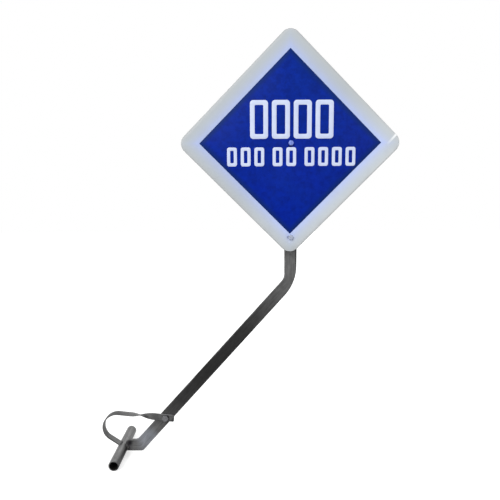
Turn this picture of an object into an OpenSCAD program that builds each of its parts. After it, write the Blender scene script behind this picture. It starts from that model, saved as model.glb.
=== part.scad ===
// Warning sign on a bent flat-bar post with a cross tube foot.
// Millimetres. The sign faces -Y, +Z is up, and the origin is the middle of the
// cross tube's bore, on the mid-plane of the bar.

/* [Sign plate] */
// Side of the square plate
plate_side = 381; // [340:1:440]
// Radius of the plate's corners
plate_corner_r = 25; // [10:1:40]
// Thickness of the aluminium plate
plate_t = 2; // [1.5:0.1:4]
// Height of the plate's middle above the cross tube
plate_z = 766; // [750:1:840]
// Distance of the plate's middle from the bar's middle line, negative to the left
plate_shift = -2; // [-6:0.5:6]
// Width of the white border round the blue field
border_w = 38; // [20:1:50]
// Thickness of the white reflective sheeting
sheet_t = 0.3; // [0.2:0.05:0.6]
// Bare metal left round the edge of the sheeting
sheet_margin = 1; // [0.5:0.5:5]
// Thickness of the blue film
field_t = 0.2; // [0.1:0.05:0.5]

/* [Post] */
// Width of the flat bar
bar_w = 30; // [25:1:34]
// Thickness of the flat bar
bar_t = 6; // [4:0.5:10]
// Sideways reach of the post, from cross tube to sign
post_reach = 430; // [380:1:480]
// Height of the upper bend, where the bar's middle lines cross
upper_bend_z = 434.5; // [400:0.5:450]
// Distance of the lower bend from the tube's middle
lower_bend_x = 45; // [42:0.5:60]
// Height of the bar's foot above the tube's middle
foot_rise = 6; // [5:0.5:12]
// Inside radius of the upper bend
upper_inner_r = 28; // [10:1:40]
// Outside radius of the upper bend
upper_outer_r = 110; // [60:1:120]
// Inside radius of the lower bend
lower_inner_r = 12; // [2:0.5:16]
// Outside radius of the lower bend
lower_outer_r = 10; // [8:1:34]
// Length of bar above the middle sign bolt
post_top = 32; // [20:1:60]
// Corner clipped off the upper side of the foot
foot_clip = 6; // [3:0.5:8]

/* [Cross tube] */
// Outside diameter of the cross tube
tube_d = 25.4; // [24:0.1:30]
// Bore of the cross tube
tube_bore = 20.6; // [16:0.1:22]
// Length of the cross tube
tube_l = 168; // [140:1:200]

/* [Strap] */
// Width of the strap
strap_w = 18; // [16:0.5:20]
// Thickness of the strap
strap_t = 3; // [2:0.1:4]
// Distance of the strap's bolt from the lower bend, along the bar
strap_bolt_up = 101; // [95:1:115]
// Length of strap beyond its bolt
strap_end = 22; // [15:1:26]
// Radius of the strap's outer corners
strap_corner_r = 3; // [1:0.5:6]
// Length of the quarter-turn twist
twist_l = 62; // [45:1:70]
// Radius of the loop, at the strap's middle
loop_r = 35.5; // [33:0.5:38]
// Length of the tail, from the tube's middle to the loop's lower end
tail_reach = 42; // [38:0.5:46]
// Direction in which the tail leaves the tube, from +X
tail_angle = 145; // [138:1:150]
// Distance from the tube's middle at which the tail's line passes over it
tail_lift = 7; // [4:0.5:9]

/* [Fasteners] */
// Shank diameter of the two sign bolts
sign_bolt_d = 6.35; // [5:0.05:7]
// Distance across the flats of the sign bolts' heads and nuts
sign_flats = 11.1; // [10:0.1:13]
// Height of the lower sign bolt above the plate's bottom corner
lower_bolt_up = 35; // [20:1:60]
// Shank diameter of the strap bolt
strap_bolt_d = 9.5; // [8:0.1:10.5]
// Distance across the flats of the strap bolt's head and nut
strap_flats = 14.3; // [13.5:0.1:17]
// Play of a bolt in its hole, on the diameter
hole_play = 0.8; // [0.4:0.1:1.5]
// How far a flat washer stands out beyond the nut's flats
washer_lip = 2.6; // [1.5:0.1:4]
// Thickness of the flat washers
washer_t = 1.6; // [1:0.1:2.5]
// Bolt thread that shows behind a nut
thread_show = 3; // [1:0.5:8]

/* [Welds] */
// Leg of the fillets between post and tube
foot_bead = 5; // [3:0.5:6]
// Radius of the beads along the strap's end
strap_bead_r = 2.4; // [1.6:0.1:3]

/* [Hidden] */
$fn = 96;

arc_steps = 16;
loop_steps = 28;
twist_steps = 14;
corner_steps = 4;
cut = 1;

// Faces of the stack, from front to back
bar_front = -bar_t / 2;
bar_back = bar_t / 2;
plate_front = bar_front - plate_t;
sheet_front = plate_front - sheet_t;
field_front = sheet_front - field_t;
strap_mid_y = bar_front - strap_t / 2;
strap_front = bar_front - strap_t;

// The bar's middle line, as points in X and Z
lower_bend = [lower_bend_x, foot_rise];
upper_bend = [post_reach, upper_bend_z];
slant = atan2(upper_bend.y - lower_bend.y, upper_bend.x - lower_bend.x);
tube_r = tube_d / 2;
foot_end_x = tube_r * 2 / 3;
post_top_z = plate_z + post_top;

// The two sign bolts
plate_tip = plate_side / sqrt(2) - plate_corner_r * (sqrt(2) - 1);
field_side = plate_side - 2 * border_w;
plate_mid = [post_reach + plate_shift, plate_z];
centre_at = [post_reach, plate_z];
lower_at = [post_reach, plate_z - plate_tip + lower_bolt_up];
head_reach = sign_flats / 2 / cos(30);
on_field = plate_z - lower_at.y - head_reach < field_side / sqrt(2);
lower_seat = on_field ? field_front : sheet_front;

// The strap's middle line: bolted end, straight run, loop and tail
bolt_at = lower_bend + strap_bolt_up * [cos(slant), sin(slant)];
tail_foot = tail_lift * [sin(tail_angle), -cos(tail_angle)];
tail_top = tail_foot + tail_reach * [cos(tail_angle), sin(tail_angle)];
loop_mid = tail_top + loop_r * [sin(tail_angle), -cos(tail_angle)];
to_bolt = bolt_at - loop_mid;
run_l = sqrt(to_bolt * to_bolt - loop_r * loop_r);
run_angle = atan2(to_bolt.y, to_bolt.x) - atan2(loop_r, run_l);
bar_crossing = slant - run_angle;
flat_l = bar_w / 2 / sin(bar_crossing) + strap_w / 2 / tan(bar_crossing) + cut;

// Fastener proportions, as shares of the shank's diameter
head_share = 0.65;
nut_share = 0.87;
lock_share = 0.25;
lock_od_share = 1.85;
chamfer_share = 0.95;
lock_gap = 1.2;
thread_play = 0.1;

// Backs of the pieces behind the bar, on a bolt of diameter d
function washer_back() = bar_back + washer_t;
function lock_back(d) = washer_back() + lock_share * d;
function bolt_back(d) = lock_back(d) + nut_share * d + thread_show;

// Corner of the bar's edge where its middle line turns from angle a to angle b at p
function edge_corner(p, a, b, side) =
    p + side * bar_w / 2 / cos((b - a) / 2) * [cos((a + b) / 2 + 90), sin((a + b) / 2 + 90)];

// Points of the arc of radius r that rounds corner p on the way from a to b
function rounded(a, p, b, r) =
    let (u = (a - p) / norm(a - p), v = (b - p) / norm(b - p))
    let (half = acos(u * v) / 2, m = (u + v) / norm(u + v))
    let (c = p + m * r / sin(half), s = p + u * r / tan(half) - c)
    let (turn = -sign(u.x * v.y - u.y * v.x) * (180 - 2 * half))
    [for (i = [0 : arc_steps]) let (t = turn * i / arc_steps)
        c + [s.x * cos(t) - s.y * sin(t), s.x * sin(t) + s.y * cos(t)]];

// Stands a drawing in X and Z up, with its thickness towards -Y from plane y
module upright(y) translate([0, y, 0]) rotate([90, 0, 0]) children();

// Carries a drawing in X and Z from the front plane to the back plane
module slab(front, back) upright(back) linear_extrude(back - front) children();

// A round bar along Y through p
module rod(p, d, front, back) upright(back) translate(p) cylinder(d = d, h = back - front);

module on_corner() translate(plate_mid) rotate(45) children();

module rounded_square(side, r) {
    square([side, side - 2 * r], center = true);
    square([side - 2 * r, side], center = true);
    for (x = [-1, 1], z = [-1, 1])
        translate([x, z] * (side / 2 - r)) circle(r);
}

module sign_bolt_holes(front, back)
    for (p = [centre_at, lower_at])
        rod(p, sign_bolt_d + hole_play, front - cut, back + cut);

module sign_plate() color("silver") difference() {
    slab(plate_front, bar_front) on_corner() rounded_square(plate_side, plate_corner_r);
    sign_bolt_holes(plate_front, bar_front);
}

module white_sheet() color("gainsboro") difference() {
    slab(sheet_front, plate_front) on_corner()
        rounded_square(plate_side - 2 * sheet_margin, plate_corner_r - sheet_margin);
    sign_bolt_holes(sheet_front, plate_front);
}

module blue_field() color("mediumblue") difference() {
    slab(field_front, sheet_front) on_corner() square(field_side, center = true);
    sign_bolt_holes(field_front, sheet_front);
}

// The bent bar's outline: out along its lower right edge, over the top and back
module post_outline() {
    half = bar_w / 2;
    low_right = edge_corner(lower_bend, 0, slant, -1);
    high_right = edge_corner(upper_bend, slant, 90, -1);
    high_left = edge_corner(upper_bend, slant, 90, 1);
    low_left = edge_corner(lower_bend, 0, slant, 1);
    foot_low = [foot_end_x, foot_rise - half];
    top_right = [post_reach + half, post_top_z];
    top_left = [post_reach - half, post_top_z];
    clip_high = [tube_r + foot_clip, foot_rise + half];
    clip_low = [foot_end_x, foot_rise + half - foot_clip];
    polygon([foot_low, each rounded(foot_low, low_right, high_right, lower_outer_r),
        each rounded(low_right, high_right, top_right, upper_outer_r), top_right, top_left,
        each rounded(top_left, high_left, low_left, upper_inner_r),
        each rounded(high_left, low_left, clip_high, lower_inner_r), clip_high, clip_low]);
}

// The foot is coped to the tube, and hugs its flank
module post() color("dimgray") difference() {
    slab(bar_front, bar_back) post_outline();
    rod([0, 0], tube_d, bar_front - cut, bar_back + cut);
    rod(bolt_at, strap_bolt_d + hole_play, bar_front - cut, bar_back + cut);
    sign_bolt_holes(bar_front, bar_back);
}

module cross_tube() color("gray") difference() {
    rod([0, 0], tube_d, -tube_l / 2, tube_l / 2);
    rod([0, 0], tube_bore, -tube_l / 2 - cut, tube_l / 2 + cut);
}

// A convex fillet turned part of the way round the tube, on each face of the bar
module foot_weld() color("slategray") {
    low = asin((foot_rise - bar_w / 2) / (tube_r + foot_bead));
    high = acos(foot_end_x / tube_r);
    crown = 0.65;
    for (side = [0, 1]) mirror([0, side, 0])
        upright(0) rotate(low) rotate_extrude(angle = high - low)
            translate([tube_r, bar_t / 2]) scale(foot_bead)
                polygon([[0, 0], [1, 0], [crown, crown], [0, 1]]);
}

// The strap's end on the tube: a straight tail that passes over the tube's middle
module strap_tail() rotate(tail_angle)
    translate([tail_reach / 2, -tail_lift]) cube([tail_reach, strap_t, strap_w], center = true);

// One cross-section of the strap: middle point in X and Z, heading, roll and width.
// Roll 0 stands the strap on edge, its width along Y, and 90 lays it flat on the bar.
function station(p, heading, roll, width = strap_w) = [p, heading, roll, width];

function along(p, heading, l) = p + l * [cos(heading), sin(heading)];

function section(s) =
    [for (corner = [[1, 1], [1, -1], [-1, -1], [-1, 1]])
        let (wide = corner.x * s[3] / 2, thin = corner.y * strap_t / 2)
        let (p = along(s[0], s[1] + 90, wide * sin(s[2]) + thin * cos(s[2])))
        [p.x, p.y, wide * cos(s[2]) - thin * sin(s[2])]];

// The strap's course: tail from inside the tube, round loop, straight run on edge,
// quarter twist, and the flat end under the bolt with its two corners rounded
function strap_course() = [
    station(tail_foot, tail_angle, 0),
    for (i = [0 : loop_steps]) let (h = tail_angle + (run_angle - tail_angle) * i / loop_steps)
        station(along(loop_mid, h + 90, loop_r), h, 0),
    for (i = [0 : twist_steps]) let (t = i / twist_steps)
        station(along(bolt_at, run_angle, twist_l * (t - 1) - flat_l), run_angle, 90 * t * t * (3 - 2 * t)),
    for (i = [0 : corner_steps]) let (a = 90 * i / corner_steps)
        station(along(bolt_at, run_angle, strap_end - strap_corner_r * (1 - sin(a))), run_angle, 90,
            strap_w - 2 * strap_corner_r * (1 - cos(a)))];

// Joins the sections of a course into one closed solid
module strip(course) {
    n = len(course);
    polyhedron([for (s = course) each section(s)], [[3, 2, 1, 0],
        for (i = [0 : n - 2], k = [0 : 3]) let (a = 4 * i, b = a + 4, m = (k + 1) % 4)
            each [[a + k, a + m, b + m], [a + k, b + m, b + k]],
        [for (k = [0 : 3]) 4 * n - 4 + k]]);
}

module strap() color("slategray") difference() {
    upright(strap_mid_y) strip(strap_course());
    rod([0, 0], tube_d, strap_mid_y - strap_w, strap_mid_y + strap_w);
    rod(bolt_at, strap_bolt_d + hole_play, strap_front - cut, bar_front + cut);
}

module strap_weld() color("slategray") difference() {
    upright(strap_mid_y) rotate(tail_angle) for (side = [-1, 1])
        let (off = side * strap_t / 2 - tail_lift)
        translate([sqrt(tube_r * tube_r - off * off), off])
            cylinder(r = strap_bead_r, h = strap_w - 2, center = true);
    rod([0, 0], tube_d, strap_mid_y - strap_w, strap_mid_y + strap_w);
    upright(strap_mid_y) strap_tail();
}

// A hexagon bevelled at its outer end, and at its inner end too where both is 1
module hexagon(flats, h, both) {
    corner = flats / 2 / cos(30);
    face = chamfer_share * flats / 2;
    drop = (corner - face) * tan(30);
    intersection() {
        cylinder(r = corner, h = h, $fn = 6);
        rotate_extrude() polygon([[0, 0], [both ? face : corner, 0], [corner, both ? drop : 0],
            [corner, h - drop], [face, h], [0, h]]);
    }
}

module ring(outer_d, inner_d, h) difference() {
    cylinder(d = outer_d, h = h);
    translate([0, 0, -cut]) cylinder(d = inner_d, h = h + 2 * cut);
}

module behind(p, y) translate([p.x, y, p.y]) rotate([-90, 0, 0]) children();

module hex_bolt(p, d, flats, seat) color("lightsteelblue") {
    upright(seat) translate(p) hexagon(flats, head_share * d, 0);
    rod(p, d, seat - cut, bolt_back(d));
}

module flat_washer(p, d, flats) color("silver")
    behind(p, bar_back) ring(flats + 2 * washer_lip, d + hole_play, washer_t);

module lock_washer(p, d) color("silver") behind(p, washer_back()) difference() {
    ring(lock_od_share * d, d + hole_play / 2, lock_share * d);
    translate([d / 2, 0, 0]) rotate([30, 0, 0]) cube([d, lock_gap, 2 * d], center = true);
}

module nut(p, d, flats) color("silver") behind(p, lock_back(d)) difference() {
    hexagon(flats, nut_share * d, 1);
    translate([0, 0, -cut]) cylinder(d = d + thread_play, h = d + 2 * cut);
}

module strap_bolt() hex_bolt(bolt_at, strap_bolt_d, strap_flats, strap_front);
module strap_washer() flat_washer(bolt_at, strap_bolt_d, strap_flats);
module strap_lock_washer() lock_washer(bolt_at, strap_bolt_d);
module strap_nut() nut(bolt_at, strap_bolt_d, strap_flats);

module centre_bolt() hex_bolt(centre_at, sign_bolt_d, sign_flats, field_front);
module centre_washer() flat_washer(centre_at, sign_bolt_d, sign_flats);
module centre_lock_washer() lock_washer(centre_at, sign_bolt_d);
module centre_nut() nut(centre_at, sign_bolt_d, sign_flats);

module lower_bolt() hex_bolt(lower_at, sign_bolt_d, sign_flats, lower_seat);
module lower_washer() flat_washer(lower_at, sign_bolt_d, sign_flats);
module lower_lock_washer() lock_washer(lower_at, sign_bolt_d);
module lower_nut() nut(lower_at, sign_bolt_d, sign_flats);

sign_plate();
white_sheet();
blue_field();
post();
cross_tube();
foot_weld();
strap();
strap_weld();
strap_bolt();
strap_washer();
strap_lock_washer();
strap_nut();
centre_bolt();
centre_washer();
centre_lock_washer();
centre_nut();
lower_bolt();
lower_washer();
lower_lock_washer();
lower_nut();
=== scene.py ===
import math

import bpy
import numpy as np
from mathutils import Matrix, Vector
from mathutils.geometry import delaunay_2d_cdt


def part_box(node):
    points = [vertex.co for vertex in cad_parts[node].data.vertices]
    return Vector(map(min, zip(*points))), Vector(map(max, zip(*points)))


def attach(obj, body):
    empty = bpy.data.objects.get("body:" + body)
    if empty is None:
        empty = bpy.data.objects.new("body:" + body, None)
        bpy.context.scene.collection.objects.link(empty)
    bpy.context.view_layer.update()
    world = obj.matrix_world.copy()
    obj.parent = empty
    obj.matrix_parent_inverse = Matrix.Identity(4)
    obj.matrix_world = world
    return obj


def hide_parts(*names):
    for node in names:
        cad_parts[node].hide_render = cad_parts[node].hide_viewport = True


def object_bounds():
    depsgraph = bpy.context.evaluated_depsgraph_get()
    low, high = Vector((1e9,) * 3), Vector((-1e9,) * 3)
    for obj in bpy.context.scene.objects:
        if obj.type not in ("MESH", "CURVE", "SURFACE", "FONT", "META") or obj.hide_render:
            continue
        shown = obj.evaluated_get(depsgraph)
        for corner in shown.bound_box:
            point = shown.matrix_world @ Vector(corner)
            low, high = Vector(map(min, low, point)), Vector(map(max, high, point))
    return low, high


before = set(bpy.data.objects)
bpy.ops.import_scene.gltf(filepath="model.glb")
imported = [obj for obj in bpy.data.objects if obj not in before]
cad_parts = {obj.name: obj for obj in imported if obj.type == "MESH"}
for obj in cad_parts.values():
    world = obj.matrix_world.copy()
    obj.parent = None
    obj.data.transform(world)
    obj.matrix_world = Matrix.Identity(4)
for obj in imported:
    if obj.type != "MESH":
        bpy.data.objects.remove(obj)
cadLow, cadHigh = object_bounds()
scene = bpy.context.scene
print("frame loaded,", len(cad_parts), "nodes")

# Camera, at the photograph's viewing angle

cameraSetup = {
    "place": (0.3311, -1.0944, 0.6438),
    "lookDown": 6.94,  # degrees below the horizon
    "lean": -0.37,     # degrees about the line of sight
    "lens": 32.4,      # millimetres, on the sensor below
    "sensor": 36,
}


def makeCamera(setup):
    down = Matrix.Rotation(math.radians(90 - setup["lookDown"]), 4, "X")
    lean = Matrix.Rotation(math.radians(setup["lean"]), 4, "Z")
    camera = bpy.data.objects.new("photoCamera", bpy.data.cameras.new("photoCamera"))
    camera.data.lens = setup["lens"]
    camera.data.sensor_width = setup["sensor"]
    camera.matrix_world = Matrix.Translation(setup["place"]) @ down @ lean
    scene.collection.objects.link(camera)
    scene.camera = camera


makeCamera(cameraSetup)
print("camera set")

# Node helpers


def addNode(kind, inputs, tree=None, **settings):
    # inputs holds plain values, or sockets of other nodes that get linked. The node goes into the given tree,
    # or else into the tree of those sockets.
    sockets = {key: value for key, value in inputs.items() if isinstance(value, bpy.types.NodeSocket)}
    tree = tree or next(iter(sockets.values())).id_data
    made = tree.nodes.new("ShaderNode" + kind)
    for label, value in settings.items():
        setattr(made, label, value)
    for key, value in inputs.items():
        if key in sockets:
            tree.links.new(value, made.inputs[key])
        else:
            made.inputs[key].default_value = value
    return made


def vectorCalc(operation, first, second=(0, 0, 0), result="Vector"):
    return addNode("VectorMath", {0: first, 1: second}, operation=operation).outputs[result]


def stretched(place, scale):
    return vectorCalc("MULTIPLY", place, scale)


def part(vector, axis):
    return addNode("SeparateXYZ", {0: vector}).outputs[axis]


def centred(place, centre, turn=0):
    # The place measured from a centre in X and Z, in axes turned by so many degrees about Y
    inputs = {"Vector": place, "Location": (centre[0], 0, centre[1]), "Rotation": (0, math.radians(turn), 0)}
    return addNode("Mapping", inputs, vector_type="TEXTURE").outputs["Vector"]


def fromAxis(place):
    # Distance from the axis that runs along Y
    return vectorCalc("LENGTH", stretched(place, (1, 0, 1)), result="Value")


def attribute(material, name):
    return addNode("Attribute", {}, material.node_tree, attribute_name=name).outputs["Fac"]


def noise(place, scale, detail=3.0, roughness=0.55):
    inputs = {"Vector": place, "Scale": scale, "Detail": detail, "Roughness": roughness}
    return addNode("TexNoise", inputs).outputs["Fac"]


def spread(value, lowIn, highIn, lowOut, highOut):
    # Carries the range lowIn..highIn to lowOut..highOut, and holds its ends
    return addNode("MapRange", {0: value, 1: lowIn, 2: highIn, 3: lowOut, 4: highOut}).outputs[0]


def calc(operation, first, second=0.0):
    return addNode("Math", {0: first, 1: second}, operation=operation).outputs[0]


def plus(first, second, share):
    # first + share * second
    return calc("ADD", first, calc("MULTIPLY", second, share))


def average(first, second, share):
    # (1 - share) * first + share * second
    return plus(calc("MULTIPLY", first, 1 - share), second, share)


def blend(share, colour, other, mode="MIX"):
    # The other colour is a socket or three levels
    other = (*other, 1) if isinstance(other, tuple) else other
    return addNode("Mix", {0: share, 6: colour, 7: other}, data_type="RGBA", blend_type=mode).outputs[2]


def dimmed(colour, gain):
    return blend(1.0, colour, gain, "MULTIPLY")


def ramp(value, stops):
    # stops are pairs of a place from 0 to 1 and a grey level or a colour
    made = addNode("ValToRGB", {0: value})
    bands = made.color_ramp.elements
    while len(bands) < len(stops):
        bands.new(0.5)
    for band, (place, colour) in zip(bands, stops):
        band.position = place
        band.color = (*colour, 1) if isinstance(colour, tuple) else (colour, colour, colour, 1)
    return made.outputs["Color"]


def roundSpot(colour, place, centre, spot, other, ragged=0.0):
    # Covers a colour about an axis along Y, most up to the spot's first distance and not past its second
    away = calc("ADD", fromAxis(centred(place, centre)), ragged)
    return blend(spread(away, *spot["reach"], spot["amount"], 0), colour, other)


def startMaterial(name, metallic, specular):
    # Gives the material and the socket of its Object coordinates
    material = bpy.data.materials.new(name)
    material.use_nodes = True
    shader = material.node_tree.nodes["Principled BSDF"]
    shader.inputs["Metallic"].default_value = metallic
    shader.inputs["Specular IOR Level"].default_value = specular
    return material, addNode("TexCoord", {}, material.node_tree).outputs["Object"]


def finishMaterial(material, colour, roughness, height, distance, strength=1.0):
    # Links the colour, the roughness and the bumps of a height into the shader
    tree = material.node_tree
    bumps = addNode("Bump", {"Height": height, "Distance": distance, "Strength": strength})
    sockets = {"Base Color": colour, "Roughness": roughness, "Normal": bumps.outputs["Normal"]}
    for label, socket in sockets.items():
        tree.links.new(socket, tree.nodes["Principled BSDF"].inputs[label])
    return material


# Shape helpers


def gridFaces(rows, columns, wrapRows=False):
    # The four-sided faces between neighbouring points of a grid stored row by row, whose rows are closed
    here = np.arange(rows * columns).reshape(rows, columns)
    above = np.roll(here, -1, 0)
    faces = np.stack([here, np.roll(here, -1, 1), np.roll(above, -1, 1), above], -1)
    return (faces if wrapRows else faces[:-1]).reshape(-1, 4)


def cappedRings(rings):
    # A tube through rings of points, each end closed by a fan to the end ring's middle
    rows, columns = rings.shape[:2]
    points = np.vstack([rings.reshape(-1, 3), rings[0].mean(0), rings[-1].mean(0)])
    here = np.arange(columns)
    after = np.roll(here, -1)
    start = np.full(columns, rows * columns)
    lastRow = (rows - 1) * columns
    fans = np.vstack([np.stack([after, here, start], 1),
                      np.stack([lastRow + here, lastRow + after, start + 1], 1)])
    return points, [gridFaces(rows, columns), fans]


def loopedRings(rings):
    # A ring-shaped surface: the last ring joins the first
    rows, columns = rings.shape[:2]
    return rings.reshape(-1, 3), [gridFaces(rows, columns, wrapRows=True)]


def joined(parts):
    # Several closed surfaces as the points and faces of one piece
    starts = np.cumsum([0] + [len(points) for points, faces in parts[:-1]])
    allPoints = np.vstack([points for points, faces in parts])
    return allPoints, [group + start for start, (points, faces) in zip(starts, parts) for group in faces]


def enclosedVolume(points, faces):
    # The sum of the volumes that the triangles span with the origin, below zero if faces point inwards
    total = 0.0
    for group in faces:
        corners = points[group]
        for k in range(1, group.shape[1] - 1):
            total += np.sum(corners[:, 0] * np.cross(corners[:, k], corners[:, k + 1]))
    return total / 6


def makePiece(name, surface, material, nodes=(), creaseAngle=40, values=None):
    # Puts a closed surface in the scene as one piece that stands for the named CAD nodes
    points, faces = surface
    if enclosedVolume(points, faces) < 0:
        faces = [group[:, ::-1] for group in faces]
    mesh = bpy.data.meshes.new(name)
    mesh.from_pydata(points.tolist(), [], [face for group in faces for face in group.tolist()])
    mesh.polygons.foreach_set("use_smooth", np.ones(len(mesh.polygons), bool))
    mesh.set_sharp_from_angle(angle=math.radians(creaseAngle))
    for label, value in (values or {}).items():
        mesh.attributes.new(label, "FLOAT", "POINT").data.foreach_set("value", value.astype(np.float32))
    mesh.materials.append(material)
    mesh.update()
    piece = bpy.data.objects.new(name, mesh)
    scene.collection.objects.link(piece)
    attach(piece, "root")
    if nodes:
        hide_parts(*nodes)


def unit(vectors):
    return vectors / np.linalg.norm(vectors, axis=-1, keepdims=True)


def direction(angle):
    # A unit vector in X and Z for an angle from +X, or an array of them
    return np.stack([np.cos(angle), np.sin(angle)], -1)


def eased(share):
    # Grows from 0 to 1 as 3 t t - 2 t t t, level at both ends
    return share * share * (3 - 2 * share)


def rounded(corners, radii, steps=12):
    # Each corner becomes an arc: its middle lies radius / sin(half the angle) along the corner's bisector. It
    # starts where the side before touches it and turns by 180 degrees less the corner's angle.
    corners = np.asarray(corners, float)
    radii = np.broadcast_to(radii, len(corners))[:, None]
    back = unit(np.roll(corners, 1, 0) - corners)
    ahead = unit(np.roll(corners, -1, 0) - corners)
    half = np.arccos(np.sum(back * ahead, 1))[:, None] / 2
    middle = corners + unit(back + ahead) * radii / np.sin(half)
    start = corners + back * radii / np.tan(half) - middle
    cross = back[:, 0] * ahead[:, 1] - back[:, 1] * ahead[:, 0]
    turn = -np.sign(cross)[:, None] * (np.pi - 2 * half) * np.linspace(0, 1, steps + 1)
    x = middle[:, :1] + start[:, :1] * np.cos(turn) - start[:, 1:] * np.sin(turn)
    z = middle[:, 1:] + start[:, :1] * np.sin(turn) + start[:, 1:] * np.cos(turn)
    outline = np.stack([x, z], -1).reshape(-1, 2)
    apart = np.linalg.norm(outline - np.roll(outline, 1, 0), axis=1)
    return outline[apart > 1e-7]


def spaced(outline, step):
    # Adds points along the sides so that none is longer than step
    side = np.roll(outline, -1, 0) - outline
    count = np.ceil(np.linalg.norm(side, axis=1) / step).astype(int)
    index = np.repeat(np.arange(len(outline)), count)
    share = (np.arange(count.sum()) - np.repeat(np.cumsum(count) - count, count)) / count[index]
    return outline[index] + share[:, None] * side[index]


def hole(centre, diameter, steps=48):
    # A circle that runs clockwise, as the outline of a hole does
    return centre + diameter / 2 * direction(-np.linspace(0, 2 * np.pi, steps, endpoint=False))


def within(place, outline):
    # True for the points from which a line towards +X crosses the outline an odd number of times
    x, z = place[:, :1], place[:, 1:]
    (startX, startZ), (endX, endZ) = outline.T, np.roll(outline, -1, 0).T
    passes = (startZ > z) != (endZ > z)
    meets = startX + (z - startZ) * (endX - startX) / np.where(endZ == startZ, 1, endZ - startZ)
    return np.sum(passes & (meets > x), 1) % 2 == 1


def edgedPlate(outlines, front, back, radius, loose=None, steps=4):
    # A flat plate in X and Z with its thickness along Y. Each outline is carried over the edge: at angle a
    # the point lies radius * (1 - sin a) inside the outline and radius * (1 - cos a) behind the front, and
    # the same from the back. The two flat faces are triangulated, in millimetres, between the outlines and
    # the loose points, and the triangles whose middle is in a hole are left out.
    angle = np.linspace(0, np.pi / 2, steps + 1)
    inset = radius * (1 - np.sin(angle))
    depth = front + radius * (1 - np.cos(angle))
    inset = np.concatenate([inset, inset[::-1]])[:, None, None]
    depth = np.concatenate([depth, front + back - depth[::-1]])[:, None]
    rows = len(inset)
    points = []
    walls = []
    edges = []
    frontIds = []
    backIds = []
    start = 0
    for outline in outlines:
        ahead = unit(np.roll(outline, -1, 0) - outline)
        left = np.stack([-ahead[:, 1], ahead[:, 0]], 1)
        before = np.roll(left, 1, 0)
        mitre = (left + before) / (1 + np.sum(left * before, 1, keepdims=True))
        flat = outline + inset * mitre
        level = np.broadcast_to(depth, flat.shape[:2])
        points.append(np.stack([flat[..., 0], level, flat[..., 1]], -1).reshape(-1, 3))
        walls.append(start + gridFaces(rows, len(outline))[:, ::-1])
        here = np.arange(len(outline))
        rim = start // rows + here
        edges.append(np.stack([rim, np.roll(rim, -1)], 1))
        frontIds.append(start + here)
        backIds.append(start + here + (rows - 1) * len(outline))
        start += rows * len(outline)
    if loose is not None:
        for level, ids in ((front, frontIds), (back, backIds)):
            points.append(np.stack([loose[:, 0], np.full(len(loose), level), loose[:, 1]], 1))
            ids.append(start + np.arange(len(loose)))
            start += len(loose)
    points = np.vstack(points)
    frontIds = np.concatenate(frontIds)
    backIds = np.concatenate(backIds)
    flat = 1000 * points[frontIds][:, [0, 2]]
    made = delaunay_2d_cdt([Vector(p) for p in flat.tolist()], np.vstack(edges).tolist(), [], 4, 1e-6)
    source = np.array([origin[0] for origin in made[3]])
    triangles = source[np.array(made[2])]
    for rim in edges[1:]:
        triangles = triangles[~within(flat[triangles].mean(1), flat[rim[:, 0]])]
    return points, [np.vstack(walls), frontIds[triangles], backIds[triangles][:, ::-1]]


def ringsAround(place, level, radius, angle):
    # Rings about an axis along Y: place + radius * (cos angle, sin angle) in X and Z, and level in Y
    x, z = place[0] + radius * np.cos(angle), place[1] + radius * np.sin(angle)
    return np.stack([x, level + 0 * angle, z], -1)


def turned(profile, place, steps=72):
    # A closed profile of pairs (Y, radius) carried round an axis along Y
    angle = np.linspace(0, 2 * np.pi, steps, endpoint=False)
    return loopedRings(ringsAround(place, profile[:, :1], profile[:, 1:], angle))


def softBox(low, high, radius, steps=3):
    # The outline of an upright rectangle with rounded corners, as pairs
    corners = [(low[0], low[1]), (high[0], low[1]), (high[0], high[1]), (low[0], high[1])]
    return rounded(corners, radius, steps)


def boltPlace(label):
    # The middle of a bolt in X and Z
    middle = sum(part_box(label + "_bolt"), Vector()) / 2
    return np.array([middle.x, middle.z])


# Sign: plate, sheeting, film and print

signSetup = {
    "cornerRadius": 0.025,
    "border": 0.038,
    "sheetMargin": 0.001,
    "holeDiameter": 0.00715,
    "coarseStep": 0.014,
    "fineStep": 0.005,
    "fineReach": 0.070,              # how far in from the right tip the fine points go
    "creaseStart": (0.660, 0.764),   # inner end of the bend at the right tip, in X and Z
    "creaseEnd": (0.679, 0.785),
    "creaseSlope": 0.07,
    "creaseSoft": 0.003,
    "creaseFade": 0.9,               # how far before its inner end the bend begins, as a share of its length
}
plateLow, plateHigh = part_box("sign_plate")
sheetLow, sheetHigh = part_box("white_sheet")
fieldLow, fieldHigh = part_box("blue_field")
signCentre = np.array([(plateLow.x + plateHigh.x) / 2, (plateLow.z + plateHigh.z) / 2])
signTip = (plateHigh.x - plateLow.x) / 2
plateSide = math.sqrt(2) * (signTip + signSetup["cornerRadius"] * (math.sqrt(2) - 1))
filmHalf = plateSide / 2 - signSetup["border"]
signBolts = [boltPlace("centre"), boltPlace("lower")]
signHoles = [hole(place, signSetup["holeDiameter"]) for place in signBolts]


def standingSquare(side, radius, step):
    # A square on its corner about the sign's centre, anticlockwise as seen from the front
    corners = signCentre + side / math.sqrt(2) * np.array([(0, -1), (1, 0), (0, 1), (-1, 0)])
    return spaced(rounded(corners, radius) if radius else corners, step)


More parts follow.
